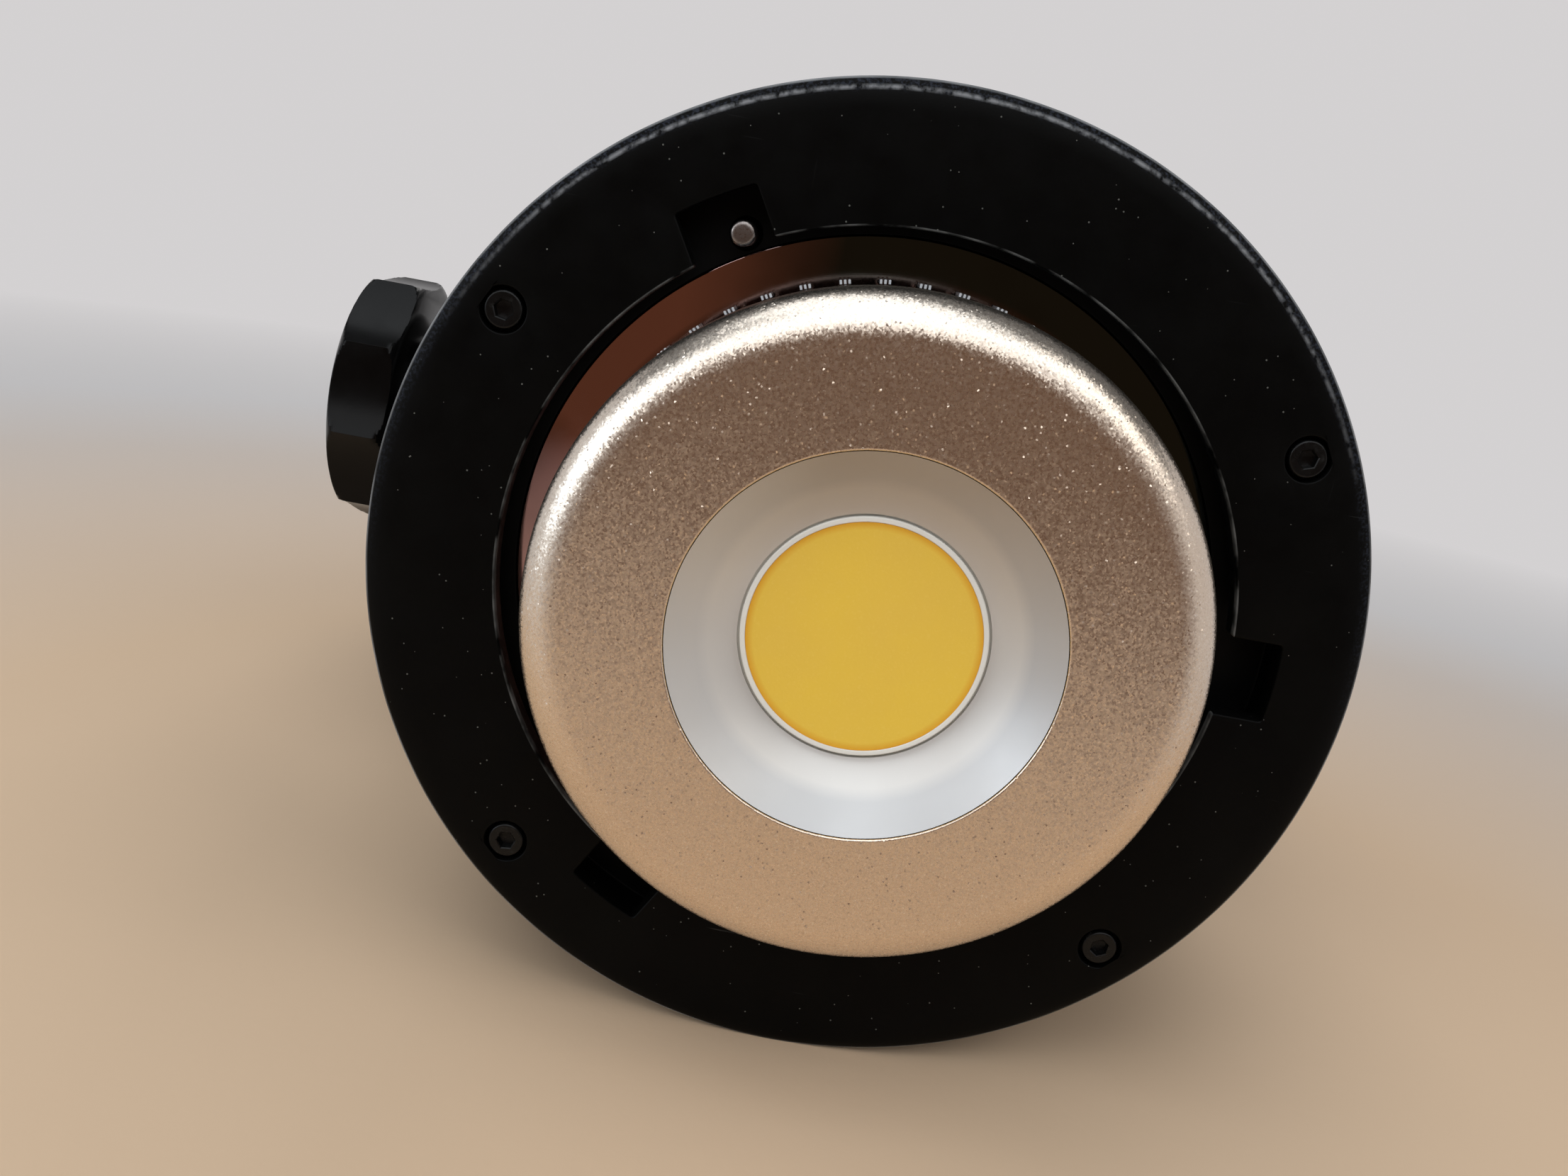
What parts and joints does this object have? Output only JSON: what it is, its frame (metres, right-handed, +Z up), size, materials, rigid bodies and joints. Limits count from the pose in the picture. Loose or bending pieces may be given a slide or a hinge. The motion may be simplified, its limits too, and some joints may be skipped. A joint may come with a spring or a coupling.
{
  "type": "studio led lamp head",
  "caption": "Studio LED lamp head with a bayonet front flange, silver cup and reflector, vented round body and a tilting yoke with stand socket.",
  "frame": {"origin": "centre of the front flange's face, on the lamp axis", "axes": "-Y out of the lamp's front along the lamp axis, +Z up, +X to the right seen from the front"},
  "size_m": [0.2132, 0.2856, 0.148],
  "materials": {
    "flange_black": "satin black anodised, worn edges",
    "shell_black": "fine black powder coat",
    "screw_black": "black oxide",
    "recess_polish": "polished, brown tint",
    "collar_black": "glossy black",
    "cup_champagne": "bead-blasted champagne anodised",
    "reflector_satin": "satin bright",
    "white_rim": "matt silicone",
    "phosphor": "matt yellow gel",
    "led_ceramic": "matt white board",
    "steel": "bright zinc",
    "copper": "bare copper",
    "sink_aluminium": "bare extrusion",
    "plastic_black": "fine moulded texture",
    "knob_black": "satin moulded",
    "lead_red": "silicone insulation",
    "lead_blue": "insulation",
    "board_green": "solder mask",
    "ferrite": "tape over ferrite",
    "capacitor_blue": "sleeve",
    "choke_copper": "enamelled wire",
    "display_grey": "panel",
    "window_dark": "smoked window",
    "button_grey": "matt rubber",
    "brass": "bright",
    "friction": "fibre"
  },
  "bodies": {
    "head": {"mount_flange": "flange_black", "flange_screws": "screw_black", "mount_ring": "flange_black", "recess_plate": "recess_polish", "rib_collar": "collar_black", "collar_screws": "steel", "lamp_cup": "cup_champagne", "reflector": "reflector_satin", "led_dam": "white_rim", "led_phosphor": "phosphor", "led_board": "led_ceramic", "led_holder": "led_ceramic", "led_screws": "steel", "heat_spreader": "copper", "heat_sink": "sink_aluminium", "sink_screws": "steel", "led_leads": "lead_red", "lock_spring": "steel", "lock_bracket": "steel", "fan_frame": "plastic_black", "fan_screws": "steel", "shell": "shell_black", "tie_rods": "steel", "rear_standoffs": "steel", "rear_panel": "plastic_black", "rear_screws": "screw_black", "driver_plate": "sink_aluminium", "driver_board": "board_green", "board_screws": "steel", "transformer": "ferrite", "capacitors": "capacitor_blue", "choke": "choke_copper", "mains_leads": "lead_blue", "control_board": "board_green", "control_screws": "steel", "display": "display_grey", "display_window": "window_dark", "switch_body": "plastic_black", "mains_inlet": "plastic_black", "inlet_pins": "brass", "pivot_bosses": "shell_black", "boss_screws": "steel", "friction_washers": "friction", "tilt_stud": "steel", "pivot_bolt": "screw_black", "pivot_washers": "steel"},
    "yoke": {"yoke": "shell_black", "stand_socket": "shell_black", "socket_bolts": "screw_black"},
    "tilt_knob": {"tilt_knob": "knob_black"},
    "lock": {"lock_pin": "steel", "release_tab": "plastic_black"},
    "fan": {"fan_rotor": "plastic_black"},
    "dial": {"dial": "plastic_black", "encoder_shaft": "steel"},
    "button_left": {"button_left": "button_grey"},
    "button_right": {"button_right": "button_grey"},
    "rocker": {"rocker": "plastic_black"},
    "stand_screw": {"stand_screw": "plastic_black"},
    "umbrella_screw": {"umbrella_screw": "plastic_black"}
  },
  "joints": [
    {"name": "tilt", "type": "hinge", "parent": "head", "child": "yoke", "pos_m": [0, 0.105, 0], "axis": [1, 0, 0], "range_deg": [-110, 25]},
    {"name": "tilt_knob_turn", "type": "hinge", "parent": "head", "child": "tilt_knob", "pos_m": [-0.1, 0.105, 0], "axis": [-1, 0, 0], "range_deg": [0, 180]},
    {"name": "lock_slide", "type": "slide", "parent": "head", "child": "lock", "axis": [0, 1, 0], "range_m": [0, 0.005], "stiffness_N_per_m": 900, "springref_m": -0.003, "deforming": ["lock_spring"]},
    {"name": "fan_spin", "type": "hinge", "parent": "head", "child": "fan", "pos_m": [0, 0.105, 0], "axis": [0, 1, 0], "continuous": true},
    {"name": "dial_turn", "type": "hinge", "parent": "head", "child": "dial", "pos_m": [0, 0.1976, -0.004], "axis": [0, 1, 0], "continuous": true},
    {"name": "button_left_press", "type": "slide", "parent": "head", "child": "button_left", "axis": [0, -1, 0], "range_m": [0, 0.001], "stiffness_N_per_m": 600, "springref_m": -0.0008},
    {"name": "button_right_press", "type": "slide", "parent": "head", "child": "button_right", "axis": [0, -1, 0], "range_m": [0, 0.001], "stiffness_N_per_m": 600, "springref_m": -0.0008},
    {"name": "rocker_tilt", "type": "hinge", "parent": "head", "child": "rocker", "pos_m": [0.022, 0.187, -0.04], "axis": [1, 0, 0], "range_deg": [0, 16]},
    {"name": "stand_screw_turn", "type": "hinge", "parent": "yoke", "child": "stand_screw", "pos_m": [0.03, 0.2338, -0.04668], "axis": [1, 0, 0], "range_deg": [0, 360]},
    {"name": "umbrella_screw_turn", "type": "hinge", "parent": "yoke", "child": "umbrella_screw", "pos_m": [-0.025, 0.21641, -0.04038], "axis": [-1, 0, 0], "range_deg": [0, 360]}
  ]
}
